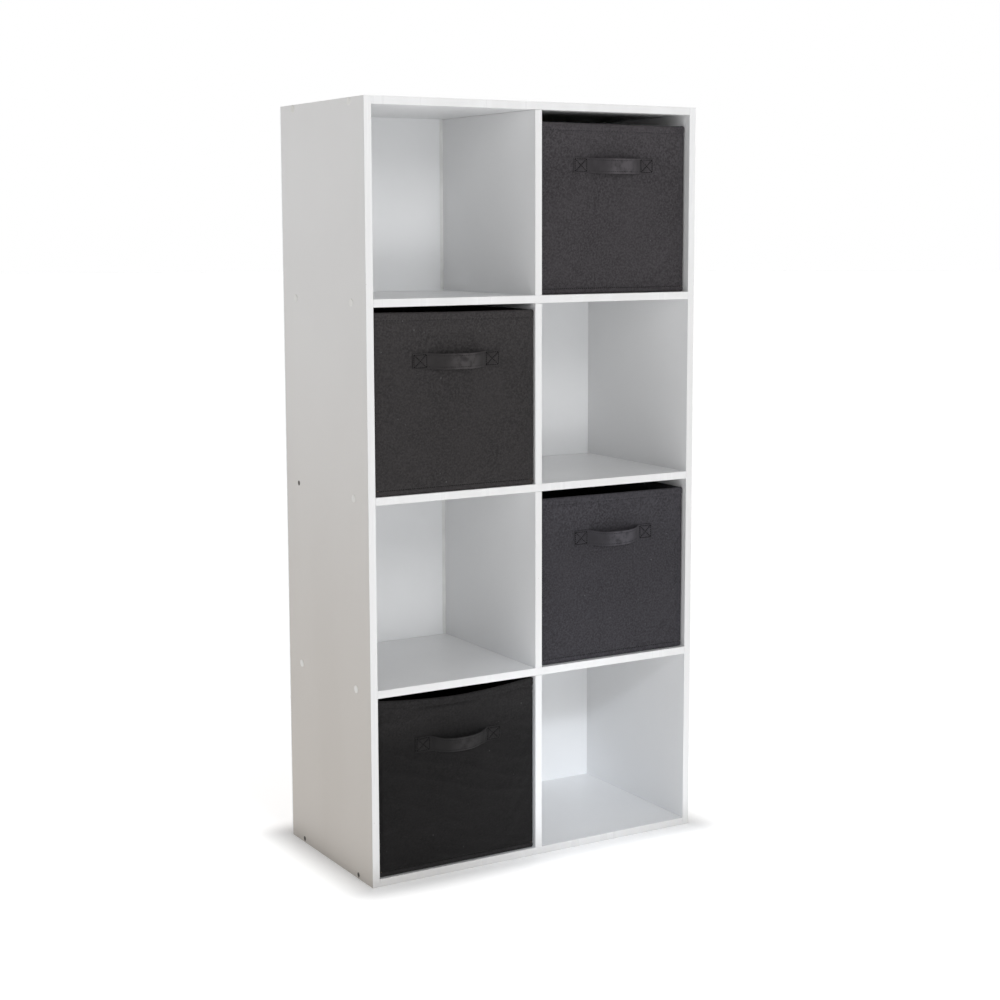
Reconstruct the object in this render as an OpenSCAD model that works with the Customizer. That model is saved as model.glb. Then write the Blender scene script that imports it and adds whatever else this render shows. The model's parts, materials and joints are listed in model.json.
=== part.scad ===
// Cube storage unit: two columns of four cells in white melamine board, open at the
// front, with four black fabric boxes that slide in and out of them.
// Millimetres, +Z up. The origin is on the floor at the middle of the unit's footprint,
// and the open front faces -Y.

/* [Carcass] */
// Overall width of the unit
unit_w = 600; // [560:1:640]
// Overall depth of the unit, back panels included
unit_d = 300; // [296:1:340]
// Overall height of the unit
unit_h = 1200; // [1160:1:1280]
// Thickness of the melamine boards
board_t = 12; // [11:0.5:16]
// Thickness of the edge banding on the front edges
band_t = 0.6; // [0.4:0.1:1]
// Thickness of the hardboard back panels
back_t = 3; // [2.5:0.5:4]
// Width of the strip that joins the two back panels
strip_w = 24; // [18:1:30]
// Thickness of that strip's flanges
flange_t = 0.8; // [0.6:0.1:1]

/* [Fasteners] */
// Distance of the screws from the front and from the back of the unit
screw_inset = 50; // [35:1:70]
// Length of the screws
screw_l = 36; // [30:1:40]
// Diameter of the dowels
dowel_d = 6; // [5:0.5:6]
// Diameter of the caps that hide the screw heads
cap_d = 12; // [10:0.5:14]
// Length of the nails in the back panels
nail_l = 17; // [14:1:20]

/* [Fabric boxes] */
// Gap between a box and the boards on each side of it
box_side_gap = 2; // [1:0.5:4]
// Depth of a box, front to back
box_d = 275; // [240:1:278]
// Gap between a full-height box and the board above it
box_head_gap = 10; // [8:1:20]
// Thickness of the non-woven fabric
fabric_t = 0.8; // [0.6:0.1:1.2]
// Thickness of the boards inside the box walls
wall_board_t = 2; // [1.5:0.5:3]
// Height of the folded hem round the rim
hem_h = 3; // [2:0.5:5]

/* [Handles] */
// Width of the handle strap
strap_h = 24; // [18:1:30]
// Thickness of the handle strap
strap_t = 1.6; // [1.2:0.2:2.4]
// Clear length between the strap's sewn ends
loop_l = 101; // [90:1:120]
// Length of each sewn end
patch_l = 25.5; // [18:0.5:32]
// How far the middle of the loop stands out from the box
loop_bow = 18; // [16:1:24]
// Height of the strap's centreline above the bottom of the box
handle_z = 202; // [180:1:215]

/* [Hidden] */
$fn = 32;
tiny = 0.01;
LEVELS = 4;         // rows of cells
fit_gap = 0.05;     // radial clearance round a screw, dowel or nail
seam_gap = 0.15;    // visible joint between two edge bands
divider_gap = 0.3;  // joint above each divider
slide_gap = 0.3;    // a box above its shelf

cell_w = (unit_w - 3 * board_t) / 2;
cell_h = (unit_h - (LEVELS + 1) * board_t) / LEVELS;
level_pitch = cell_h + board_t;

front_y = -unit_d / 2;
board_front_y = front_y + band_t;
panel_back_y = unit_d / 2 - flange_t;
panel_front_y = panel_back_y - back_t;
shelf_back_y = panel_front_y - flange_t;
inner_x = unit_w / 2 - board_t;

// Fasteners
screw_ys = [front_y + screw_inset, unit_d / 2 - screw_inset];
divider_dowel_ys = [-60, 60];
screw_r = 2;
screw_head_r = 4;
screw_head_h = 2.6;
screw_tip_h = 4;
recess_l = 4.4;
recess_w = 0.8;
recess_h = 1.6;
dowel_r = dowel_d / 2;
dowel_l = 28;
dowel_in_side = 7;  // how far a dowel goes into a side panel
through_dowel_l = board_t + 20;
end_dowel_l = 20;
end_dowel_depth = 8; // how far a dowel goes into the top or the bottom panel
cap_h = 0.7;
cap_rim_h = 0.3;
nail_r = 0.7;
nail_head_r = 1.8;
nail_head_h = 0.6;
side_nail_zs = [for (i = [0:6]) 60 + i * (unit_h - 120) / 6];
panel_nail_xs = [75, 225];
panel_edge_gap = 0.5;
web_half = 0.8;     // half the thickness of the joining strip's web
web_slot_half = 1;  // half the gap between the two back panels

// Levels whose screws carry no cap on the left side: [level, index into screw_ys]
BARE_LEFT = [[0, 0], [0, 1], [2, 1]];

// One row per box: [column, row of cells from the floor, set back from the front,
// how far the rim has settled, droop of the strap in degrees]
BOXES = [
    [1, 3, 12, 8, 0],
    [0, 2, 3, 0, 0],
    [1, 1, 8, 5, 8],
    [0, 0, 5, 3, 14],
];
box_w = cell_w - 2 * box_side_gap;
box_h = cell_h - box_head_gap;
bottom_t = 2;
wall_z = bottom_t + 0.2;
base_board_t = 3;
base_board_gap = 1.5;
wall_t = 2 * fabric_t + wall_board_t;
board_corner_gap = 0.3; // the wall boards stop short of each other at the corners
hinge_out = 2;      // the strap bends this far in front of the box
root_l = 10.5;      // stretch of strap at each sewn end that stays with the box
root_gap = 0.4;
loop_power = 2.6;   // how square the loop is: 2 is a parabola
LOOP_STEPS = 24;
ROOT_STEPS = 4;

BOX_PARTS = [
    "outer_cover", "wall_boards", "lining", "rim_hem", "bottom_panel", "base_board",
    "handle_patches", "handle_strap"
];
CARCASS_NODES = [
    "side_panel_left", "side_panel_right", "top_panel", "bottom_panel",
    "shelf_upper", "shelf_middle", "shelf_lower",
    "divider_top", "divider_upper", "divider_lower", "divider_bottom",
    "back_panel_left", "back_panel_right", "back_joining_strip",
    "side_edge_bands", "horizontal_edge_bands", "divider_edge_bands",
    "side_screws_left", "side_screws_right", "screw_caps_left", "screw_caps_right",
    "side_dowels_left", "side_dowels_right", "divider_dowels", "back_panel_nails"
];

// Height of the underside of the board at a level: 0 is the bottom board, 4 the top
function level_z(level) = level * level_pitch;
function box_col_x(n) = (BOXES[n][0] * 2 - 1) * (cell_w + board_t) / 2;
function box_height(n) = box_h - BOXES[n][3];
// Distance from the box's face to the inside of the strap, x from its middle
function bow_at(x) = loop_bow * (1 - pow(abs(x) / (loop_l / 2), loop_power));
function is_bare_left(level, i) = len([for (b = BARE_LEFT) if (b == [level, i]) 1]) > 0;

// ---- Shapes that repeat ----

module block(low, high) {
    translate(low) cube(high - low);
}

// A countersunk wood screw, its head's face at the origin, pointing down
module screw_body(extra) {
    translate([0, 0, -screw_head_h])
        cylinder(h = screw_head_h, r1 = screw_r + extra, r2 = screw_head_r + extra);
    translate([0, 0, -screw_l + screw_tip_h]) cylinder(h = screw_l - screw_tip_h, r = screw_r + extra);
    translate([0, 0, -screw_l]) cylinder(h = screw_tip_h, r1 = 0.4 + extra, r2 = screw_r + extra);
}

module screw() {
    difference() {
        screw_body(0);
        for (turn = [0, 90])
            rotate([0, 0, turn])
                translate([-recess_l / 2, -recess_w / 2, -recess_h])
                    cube([recess_l, recess_w, 2 * recess_h]);
    }
}

module dowel(length, extra) {
    translate([0, 0, -length / 2]) cylinder(h = length, r = dowel_r + extra);
}

// A nail, the back of its head at the origin, pointing down
module nail(extra) {
    translate([0, 0, -nail_l]) cylinder(h = nail_l + tiny, r = nail_r + extra);
    cylinder(h = nail_head_h, r = nail_head_r);
}

// A thin cap with a chamfered rim, its flat back at the origin, facing up
module cap() {
    cylinder(h = cap_rim_h, r = cap_d / 2);
    translate([0, 0, cap_rim_h]) cylinder(h = cap_h - cap_rim_h, r1 = cap_d / 2, r2 = cap_d / 2 - 0.8);
}

// Puts its children at each screw on one side: side is -1 for left and 1 for right
module at_side_screws(side) {
    for (level = [0:LEVELS], i = [0, 1])
        translate([side * unit_w / 2, screw_ys[i], level_z(level) + board_t / 2])
            rotate([0, side * 90, 0]) children();
}

module at_side_dowels(side) {
    for (level = [0:LEVELS])
        translate([side * (inner_x + dowel_in_side - dowel_l / 2), 0, level_z(level) + board_t / 2])
            rotate([0, 90, 0]) children();
}

// The dowels at one level that hold the dividers: they run through each shelf into the
// dividers above and below it, and stop inside the top and the bottom panel
module divider_dowels_at(level, extra) {
    is_end = level == 0 || level == LEVELS;
    end_reach = end_dowel_l / 2 - end_dowel_depth;
    z = level == 0 ? board_t + end_reach
        : level == LEVELS ? unit_h - board_t - end_reach
        : level_z(level) + board_t / 2;
    for (y = divider_dowel_ys)
        translate([0, y, z]) dowel(is_end ? end_dowel_l : through_dowel_l, extra);
}

module at_side_nails(side) {
    for (z = side_nail_zs)
        translate([side * (unit_w - board_t) / 2, panel_back_y, z]) rotate([-90, 0, 0]) children();
}

module at_level_nails(side, level) {
    for (x = panel_nail_xs)
        translate([side * x, panel_back_y, level_z(level) + board_t / 2]) rotate([-90, 0, 0]) children();
}

// ---- Carcass boards ----

module side_panel(side) {
    outer = side * unit_w / 2;
    inner = side * inner_x;
    color("whitesmoke") difference() {
        block([min(outer, inner), board_front_y, 0], [max(outer, inner), panel_front_y, unit_h]);
        at_side_screws(side) screw_body(fit_gap);
        at_side_dowels(side) dowel(dowel_l, fit_gap);
        at_side_nails(side) nail(fit_gap);
    }
}

// A horizontal board between the side panels
module level_board(level, back_y) {
    color("whitesmoke") difference() {
        block([-inner_x, board_front_y, level_z(level)], [inner_x, back_y, level_z(level) + board_t]);
        for (side = [-1, 1]) {
            at_side_screws(side) screw_body(fit_gap);
            at_side_dowels(side) dowel(dowel_l, fit_gap);
            at_level_nails(side, level) nail(fit_gap);
        }
        divider_dowels_at(level, fit_gap);
    }
}

// The divider that stands on the board at this level
module divider(level) {
    color("whitesmoke") difference() {
        block([-board_t / 2, board_front_y, level_z(level) + board_t],
              [board_t / 2, shelf_back_y, level_z(level + 1) - divider_gap]);
        divider_dowels_at(level, fit_gap);
        divider_dowels_at(level + 1, fit_gap);
    }
}

module back_panel(side) {
    near = side * web_slot_half;
    far = side * (unit_w / 2 - panel_edge_gap);
    color("gainsboro") difference() {
        block([min(near, far), panel_front_y, panel_edge_gap],
              [max(near, far), panel_back_y, unit_h - panel_edge_gap]);
        at_side_nails(side) nail(fit_gap);
        for (level = [0:LEVELS]) at_level_nails(side, level) nail(fit_gap);
    }
}

// An H-shaped strip that holds the inner edges of both back panels
module back_joining_strip() {
    half = strip_w / 2;
    color("white") union() {
        block([-half, panel_back_y, 1], [half, unit_d / 2, unit_h - 1]);
        block([-web_half, panel_front_y, board_t + divider_gap],
              [web_half, panel_back_y + tiny, unit_h - board_t - divider_gap]);
        block([-half, shelf_back_y, board_t + divider_gap],
              [half, panel_front_y, unit_h - board_t - divider_gap]);
    }
}

// ---- Edge bands ----

module side_edge_bands() {
    color("white") for (side = [-1, 1]) {
        outer = side * unit_w / 2;
        inner = side * inner_x;
        block([min(outer, inner), front_y, 0], [max(outer, inner), board_front_y, unit_h]);
    }
}

module horizontal_edge_bands() {
    color("white") for (level = [0:LEVELS])
        block([-inner_x + seam_gap, front_y, level_z(level)],
              [inner_x - seam_gap, board_front_y, level_z(level) + board_t]);
}

module divider_edge_bands() {
    color("white") for (level = [0:LEVELS - 1])
        block([-board_t / 2, front_y, level_z(level) + board_t + seam_gap],
              [board_t / 2, board_front_y, level_z(level + 1) - divider_gap]);
}

// ---- Fasteners ----

module side_screws(side) {
    color("dimgray") at_side_screws(side) screw();
}

module screw_caps_left() {
    color("white")
    for (level = [0:LEVELS], i = [0, 1])
        if (!is_bare_left(level, i))
            translate([-unit_w / 2, screw_ys[i], level_z(level) + board_t / 2]) rotate([0, -90, 0]) cap();
}

module screw_caps_right() {
    color("white") at_side_screws(1) cap();
}

module side_dowels(side) {
    color("burlywood") at_side_dowels(side) dowel(dowel_l, 0);
}

module divider_dowels() {
    color("burlywood") for (level = [0:LEVELS]) divider_dowels_at(level, 0);
}

module back_panel_nails() {
    color("silver") for (side = [-1, 1]) {
        at_side_nails(side) nail(0);
        for (level = [0:LEVELS]) at_level_nails(side, level) nail(0);
    }
}

// ---- Fabric boxes ----

// Local frame of a box: x from its middle, y back from its front face, z up from its bottom
module in_box(n) {
    translate([box_col_x(n), front_y + BOXES[n][2], level_z(BOXES[n][1]) + board_t + slide_gap])
        children();
}

// A square tube that stands inside the box's outline by inset
module tube(inset, wall, low_z, high_z) {
    difference() {
        block([-box_w / 2 + inset, inset, low_z], [box_w / 2 - inset, box_d - inset, high_z]);
        block([-box_w / 2 + inset + wall, inset + wall, low_z - 1],
              [box_w / 2 - inset - wall, box_d - inset - wall, high_z + 1]);
    }
}

module outer_cover(n) {
    color("#3c3a3c") in_box(n) tube(0, fabric_t, 0, box_height(n) - hem_h);
}

module wall_boards(n) {
    low = wall_z;
    high = box_height(n) - hem_h;
    x = box_w / 2 - fabric_t;
    color("peru") in_box(n) {
        for (y = [fabric_t, box_d - fabric_t - wall_board_t])
            block([-x, y, low], [x, y + wall_board_t, high]);
        for (left = [-x, x - wall_board_t])
            block([left, fabric_t + wall_board_t + board_corner_gap, low],
                  [left + wall_board_t, box_d - fabric_t - wall_board_t - board_corner_gap, high]);
    }
}

module lining(n) {
    color("#2a292b") in_box(n) tube(fabric_t + wall_board_t, fabric_t, wall_z, box_height(n) - hem_h);
}

module rim_hem(n) {
    color("#343234") in_box(n) tube(0, wall_t, box_height(n) - hem_h, box_height(n));
}

module box_bottom_panel(n) {
    x = box_w / 2 - fabric_t;
    color("#2f2e30") in_box(n) block([-x, fabric_t, 0], [x, box_d - fabric_t, bottom_t]);
}

module base_board(n) {
    inset = wall_t + base_board_gap;
    color("#242325") in_box(n)
        block([-box_w / 2 + inset, inset, wall_z],
              [box_w / 2 - inset, box_d - inset, wall_z + base_board_t]);
}

// A stretch of the strap between two places along it, seen from above
module strap_outline(x0, x1, steps) {
    xs = [for (i = [0:steps]) x0 + (x1 - x0) * i / steps];
    polygon(concat(
        [for (x = xs) [x, -bow_at(x)]],
        [for (i = [steps:-1:0]) [xs[i], -bow_at(xs[i]) - strap_t]]
    ));
}

// The sewn ends of the strap and the short stretches that rise from them
module handle_patches(n) {
    half = loop_l / 2;
    color("#2d2b2e") in_box(n) translate([0, 0, handle_z - strap_h / 2])
        for (side = [0, 1]) mirror([side, 0, 0]) linear_extrude(height = strap_h) union() {
            translate([half - tiny, -strap_t]) square([patch_l + tiny, strap_t]);
            strap_outline(half - root_l + root_gap, half, ROOT_STEPS);
        }
}

module handle_strap(n) {
    reach = loop_l / 2 - root_l;
    color("#2d2b2e") in_box(n) translate([0, -hinge_out, handle_z]) rotate([BOXES[n][4], 0, 0])
        translate([0, hinge_out, -strap_h / 2])
            linear_extrude(height = strap_h) strap_outline(-reach, reach, LOOP_STEPS);
}

// ---- Nodes ----

side_panel(-1);  // side_panel_left
side_panel(1);  // side_panel_right
level_board(LEVELS, panel_front_y);  // top_panel
level_board(0, panel_front_y);  // bottom_panel
level_board(3, shelf_back_y);  // shelf_upper
level_board(2, shelf_back_y);  // shelf_middle
level_board(1, shelf_back_y);  // shelf_lower
divider(3);  // divider_top
divider(2);  // divider_upper
divider(1);  // divider_lower
divider(0);  // divider_bottom
back_panel(-1);  // back_panel_left
back_panel(1);  // back_panel_right
back_joining_strip();
side_edge_bands();
horizontal_edge_bands();
divider_edge_bands();
side_screws(-1);  // side_screws_left
side_screws(1);  // side_screws_right
screw_caps_left();
screw_caps_right();
side_dowels(-1);  // side_dowels_left
side_dowels(1);  // side_dowels_right
divider_dowels();
back_panel_nails();

for (n = [0:len(BOXES) - 1]) {
    box = str("box_", n + 1, "_");
    outer_cover(n);
    wall_boards(n);
    lining(n);
    rim_hem(n);
    box_bottom_panel(n);
    base_board(n);
    handle_patches(n);
    handle_strap(n);
}
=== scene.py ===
"""The looks of the cube storage unit: a white melamine carcass and four black fabric boxes."""

import json
import math

import bmesh
import bpy
import numpy as np
from mathutils import Matrix, Vector, noise


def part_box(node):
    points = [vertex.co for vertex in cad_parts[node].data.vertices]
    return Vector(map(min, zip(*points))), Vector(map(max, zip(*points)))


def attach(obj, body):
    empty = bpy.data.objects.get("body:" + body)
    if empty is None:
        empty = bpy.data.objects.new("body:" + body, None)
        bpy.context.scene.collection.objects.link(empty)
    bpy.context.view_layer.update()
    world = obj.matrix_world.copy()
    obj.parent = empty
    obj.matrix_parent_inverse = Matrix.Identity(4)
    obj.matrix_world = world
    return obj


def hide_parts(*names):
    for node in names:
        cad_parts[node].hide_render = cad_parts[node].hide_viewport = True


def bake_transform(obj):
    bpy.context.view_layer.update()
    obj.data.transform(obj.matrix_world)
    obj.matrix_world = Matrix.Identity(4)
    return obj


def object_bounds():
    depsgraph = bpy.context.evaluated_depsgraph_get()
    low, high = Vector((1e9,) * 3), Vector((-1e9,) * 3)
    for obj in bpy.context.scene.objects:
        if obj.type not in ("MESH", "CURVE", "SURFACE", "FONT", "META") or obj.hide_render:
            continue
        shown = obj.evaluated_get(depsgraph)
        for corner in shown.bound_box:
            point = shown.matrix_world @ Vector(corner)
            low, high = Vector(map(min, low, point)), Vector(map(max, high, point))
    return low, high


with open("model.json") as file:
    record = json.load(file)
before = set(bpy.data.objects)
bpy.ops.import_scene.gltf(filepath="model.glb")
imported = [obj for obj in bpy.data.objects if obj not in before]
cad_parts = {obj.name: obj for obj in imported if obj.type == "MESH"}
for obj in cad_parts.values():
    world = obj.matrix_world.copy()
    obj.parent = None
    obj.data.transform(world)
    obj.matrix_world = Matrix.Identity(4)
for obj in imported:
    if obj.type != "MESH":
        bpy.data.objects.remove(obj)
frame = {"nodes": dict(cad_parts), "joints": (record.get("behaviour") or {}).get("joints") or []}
cad_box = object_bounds()
scene = bpy.context.scene
MM = 0.001
UNIT_HALF_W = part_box("side_panel_right")[1].x   # half the carcass's width, without its caps
UNIT_HALF_D = cad_box[1].y                      # half its depth

# ---- Camera ----

CAMERA_PLACE = (-1.5058, -2.5739, 1.0078)
CAMERA_YAW = math.radians(30.625)    # turned from +Y towards +X
CAMERA_PITCH = math.radians(7.259)   # looking down
CAMERA_ROLL = math.radians(-0.157)
CAMERA_LENS = 65.66                  # on a sensor 36 mm wide
CAMERA_SHIFT = -0.04


def make_camera():
    data = bpy.data.cameras.new("camera")
    data.lens = CAMERA_LENS
    data.sensor_width = 36
    data.shift_y = CAMERA_SHIFT
    camera = bpy.data.objects.new("camera", data)
    scene.collection.objects.link(camera)
    level = math.cos(CAMERA_PITCH)
    forward = Vector((math.sin(CAMERA_YAW) * level, math.cos(CAMERA_YAW) * level, -math.sin(CAMERA_PITCH)))
    right = Vector((math.cos(CAMERA_YAW), -math.sin(CAMERA_YAW), 0))
    up = right.cross(forward)
    turned_right = right * math.cos(CAMERA_ROLL) + up * math.sin(CAMERA_ROLL)
    turned_up = up * math.cos(CAMERA_ROLL) - right * math.sin(CAMERA_ROLL)
    turn = Matrix((turned_right, turned_up, -forward)).transposed().to_4x4()
    camera.matrix_world = Matrix.Translation(CAMERA_PLACE) @ turn
    scene.camera = camera


# ---- Materials ----


class Recipe:
    """A procedural material, with short calls that add its nodes."""

    def __init__(self, name):
        self.material = bpy.data.materials.new(name)
        self.material.use_nodes = True
        self.tree = self.material.node_tree
        self.shader = self.tree.nodes["Principled BSDF"]
        self.place = self.node("ShaderNodeTexCoord").outputs["Object"]

    def node(self, kind, **settings):
        made = self.tree.nodes.new(kind)
        for key, value in settings.items():
            setattr(made, key, value)
        return made

    def feed(self, socket, value):
        """Links an output, or sets a plain value."""
        if isinstance(value, bpy.types.NodeSocket):
            self.tree.links.new(value, socket)
        elif hasattr(value, "__len__") and len(socket.default_value) == 4:
            socket.default_value = (*value[:3], 1)
        else:
            socket.default_value = value

    def stretched(self, scale):
        made = self.node("ShaderNodeMapping")
        self.feed(made.inputs["Vector"], self.place)
        self.feed(made.inputs["Scale"], scale)
        return made.outputs["Vector"]

    def noise(self, scale, detail=2, stretch=(1, 1, 1), roughness=0.5):
        made = self.node("ShaderNodeTexNoise")
        self.feed(made.inputs["Vector"], self.stretched(stretch))
        self.feed(made.inputs["Scale"], scale)
        self.feed(made.inputs["Detail"], detail)
        self.feed(made.inputs["Roughness"], roughness)
        return made.outputs["Fac"]

    def cells(self, scale, randomness=1, stretch=(1, 1, 1)):
        """Distance from the middle of the nearest cell."""
        made = self.node("ShaderNodeTexVoronoi")
        self.feed(made.inputs["Vector"], self.stretched(stretch))
        self.feed(made.inputs["Scale"], scale)
        self.feed(made.inputs["Randomness"], randomness)
        return made.outputs["Distance"]

    def wave(self, scale, direction, distortion=0, stretch=(1, 1, 1)):
        made = self.node("ShaderNodeTexWave", wave_type="BANDS", bands_direction=direction)
        self.feed(made.inputs["Vector"], self.stretched(stretch))
        self.feed(made.inputs["Scale"], scale)
        self.feed(made.inputs["Distortion"], distortion)
        return made.outputs["Fac"]

    def part(self, source, axis):
        made = self.node("ShaderNodeSeparateXYZ")
        self.feed(made.inputs[0], source)
        return made.outputs[axis]

    def span(self, value, low, high, to_low=0, to_high=1):
        """Maps low..high onto to_low..to_high, smoothly and clamped."""
        made = self.node("ShaderNodeMapRange", interpolation_type="SMOOTHSTEP")
        for socket, number in zip(made.inputs, (value, low, high, to_low, to_high)):
            self.feed(socket, number)
        return made.outputs["Result"]

    def math(self, operation, a, b):
        made = self.node("ShaderNodeMath", operation=operation)
        self.feed(made.inputs[0], a)
        self.feed(made.inputs[1], b)
        return made.outputs[0]

    def size_of(self, value):
        """The value without its sign."""
        return self.math("ABSOLUTE", value, 0)

    def mix(self, share, a, b):
        made = self.node("ShaderNodeMix", data_type="RGBA")
        self.feed(made.inputs["Factor"], share)
        self.feed(made.inputs[6], a)
        self.feed(made.inputs[7], b)
        return made.outputs[2]

    def bump(self, height, depth, below=None):
        """Relief of that depth in metres, on top of the relief below it."""
        made = self.node("ShaderNodeBump")
        self.feed(made.inputs["Height"], height)
        self.feed(made.inputs["Distance"], depth)
        self.feed(made.inputs["Strength"], 1.0)
        if below is not None:
            self.feed(made.inputs["Normal"], below)
        return made.outputs["Normal"]

    def finish(self, **sockets):
        for name, value in sockets.items():
            self.feed(self.shader.inputs[name.replace("_", " ")], value)
        return self.material


SIDE_SHADE_TOP = 1150 * MM       # painted shade on the outside of the sides, warm and darker, deepens downward from here


def board_material(name, tone, foot_shade, rough=(0.3, 0.42)):
    """Smooth melamine: a fine orange-peel relief, wiping marks, and painted shade, warm and darker, towards
    the foot of the outside.
    """
    r = Recipe(name)
    cloudy = r.span(r.noise(3.5, 3), 0.35, 0.7)
    wiped = r.span(r.noise(9, 4, (1, 1, 0.25)), 0.45, 0.75)
    # painted shade: the outside of the sides turns darker and warmer towards the foot
    low = r.span(r.part(r.place, "Z"), SIDE_SHADE_TOP, 0, 0.22, 1)
    outside = r.span(r.size_of(r.part(r.place, "X")), UNIT_HALF_W - 7 * MM, UNIT_HALF_W - 2 * MM)
    speck = r.span(r.cells(60), 0.035, 0.02)
    colour = r.mix(cloudy, tone, [c * 0.965 for c in tone])
    colour = r.mix(r.math("MULTIPLY", low, outside), colour, foot_shade)
    colour = r.mix(r.math("MULTIPLY", speck, 0.12), colour, (0.35, 0.32, 0.29))
    peel = r.bump(r.noise(650, 2), 0.00002)
    roughness = r.span(r.math("ADD", wiped, r.noise(140, 2)), 0.3, 1.3, *rough)
    return r.finish(Base_Color=colour, Roughness=roughness, Normal=peel, Specular_IOR_Level=0.4)


def band_material():
    """White banding, streaked along its grain, with a few chips, and painted shade darkening its foot."""
    r = Recipe("edge_band")
    streak = r.span(r.noise(30, 3, (1, 1, 0.06)), 0.3, 0.7)
    chips = r.span(r.cells(34), 0.03, 0.015)
    colour = r.mix(streak, (0.745, 0.748, 0.752), (0.71, 0.71, 0.71))
    # painted shade: the banding darkens towards the floor
    low = r.span(r.part(r.place, "Z"), 50 * MM, 0)
    colour = r.mix(r.math("MULTIPLY", low, 0.7), colour, (0.58, 0.57, 0.56))
    colour = r.mix(r.math("MULTIPLY", chips, 0.5), colour, (0.4, 0.36, 0.32))
    grain = r.bump(r.noise(420, 3, (1, 1, 0.2)), 0.00003)
    return r.finish(Base_Color=colour, Roughness=r.span(streak, 0, 1, 0.27, 0.38), Normal=grain,
                    Specular_IOR_Level=0.45)


def hardboard_material():
    """White paint on the face inside the unit, and raw brown fibre behind."""
    r = Recipe("hardboard_back")
    normal = r.node("ShaderNodeTexCoord").outputs["Normal"]
    rear = r.span(r.part(normal, "Y"), 0.3, 0.6)
    cloudy = r.span(r.noise(4, 3), 0.35, 0.7)
    paint = r.mix(cloudy, (0.83, 0.84, 0.85), (0.80, 0.81, 0.82))
    fibre = r.mix(r.noise(260, 6, (1, 1, 0.6), 0.7), (0.17, 0.095, 0.05), (0.36, 0.225, 0.13))
    fleck = r.span(r.cells(300, stretch=(1, 1, 0.35)), 0.12, 0.05)
    fibre = r.mix(r.math("MULTIPLY", fleck, 0.6), fibre, (0.09, 0.05, 0.03))
    screen = r.math("MULTIPLY", r.wave(160, "X"), r.wave(160, "Z"))
    relief = r.bump(r.math("MULTIPLY", screen, rear), 0.00025, r.bump(r.noise(500, 3), 0.00003))
    return r.finish(Base_Color=r.mix(rear, paint, fibre), Roughness=r.span(rear, 0, 1, 0.42, 0.85),
                    Normal=relief, Specular_IOR_Level=0.35)


def plastic_material(name, tone, dull, rough=(0.32, 0.45)):
    r = Recipe(name)
    cloud = r.span(r.noise(25, 4), 0.3, 0.75)
    relief = r.bump(r.noise(900, 2), 0.00002)
    return r.finish(Base_Color=r.mix(cloud, tone, dull), Roughness=r.span(cloud, 0, 1, *rough), Normal=relief)


def steel_material(name, tone, stain, rough):
    r = Recipe(name)
    blotch = r.span(r.noise(420, 5), 0.35, 0.7)
    scratch = r.bump(r.noise(900, 3, (1, 1, 0.15)), 0.00004)
    return r.finish(Base_Color=r.mix(blotch, tone, stain), Roughness=r.span(blotch, 0, 1, *rough),
                    Normal=scratch, Metallic=1.0)


def beech_material():
    r = Recipe("dowel_beech")
    grain = r.noise(220, 5, (0.12, 1, 1), 0.6)
    pore = r.span(r.cells(700, stretch=(0.1, 1, 1)), 0.2, 0.1)
    colour = r.mix(grain, (0.55, 0.36, 0.2), (0.74, 0.55, 0.35))
    colour = r.mix(r.math("MULTIPLY", pore, 0.5), colour, (0.3, 0.17, 0.09))
    return r.finish(Base_Color=colour, Roughness=r.span(grain, 0, 1, 0.55, 0.75),
                    Normal=r.bump(grain, 0.0001))


def cardboard_material():
    r = Recipe("wall_cardboard")
    pulp = r.noise(240, 6, (1, 1, 0.5), 0.7)
    flute = r.wave(90, "DIAGONAL", 1.0)
    colour = r.mix(pulp, (0.3, 0.2, 0.12), (0.5, 0.36, 0.23))
    return r.finish(Base_Color=colour, Roughness=r.span(pulp, 0, 1, 0.8, 0.95), Normal=r.bump(flute, 0.0001))


def fabric_material(name, tone, lint=0.5, emboss=0.00012, rim=2, foot=-1, rubbed=1):
    """Spun non-woven fabric: matted fibres, rows of small pressed points, and a few specks of lint.
    It carries a painted highlight, lighter towards the height of the rim and below the seam at its foot."""
    r = Recipe(name)
    points = r.span(r.cells(640, 0.25), 0.15, 0.55)
    fibres = r.noise(1500, 4, (1, 1, 1), 0.7)
    matted = r.span(r.noise(320, 4, (1, 1, 1), 0.7), 0.32, 0.68)
    cloudy = r.span(r.noise(14, 4), 0.3, 0.7)
    height = r.part(r.place, "Z")
    # painted highlight: the cloth is lighter towards the rim and below the seam at its foot
    by_rim = r.span(height, rim - 85 * MM, rim - 10 * MM)
    below_seam = r.span(height, foot + SEAM_Z + 0.4 * MM, foot + SEAM_Z - 0.8 * MM)
    highlight_and_wear = r.math("ADD", by_rim, below_seam)
    dark, light = ([c * k for c in tone] for k in (0.6, 1.4))
    colour = r.mix(matted, r.mix(highlight_and_wear, dark, [c * rubbed for c in dark]),
                   r.mix(highlight_and_wear, light, [c * rubbed for c in light]))
    colour = r.mix(r.math("MULTIPLY", cloudy, 0.3), colour, [c * 1.35 for c in tone])
    fluff = r.span(r.cells(95, stretch=(1, 1, 0.6)), 0.1, 0.04)
    patch = r.span(r.noise(23, 2), 0.5, 0.7)
    fluff = r.math("MULTIPLY", r.math("MULTIPLY", fluff, patch), lint)
    colour = r.mix(fluff, colour, (0.16, 0.16, 0.165))
    relief = r.bump(fibres, 0.00008)
    relief = r.bump(points, emboss, relief)
    relief = r.bump(matted, 0.0002, relief)
    return r.finish(Base_Color=colour, Roughness=r.span(matted, 0, 1, 0.78, 0.95), Normal=relief,
                    Specular_IOR_Level=0.1, Sheen_Weight=0.03, Sheen_Roughness=0.6)


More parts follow.
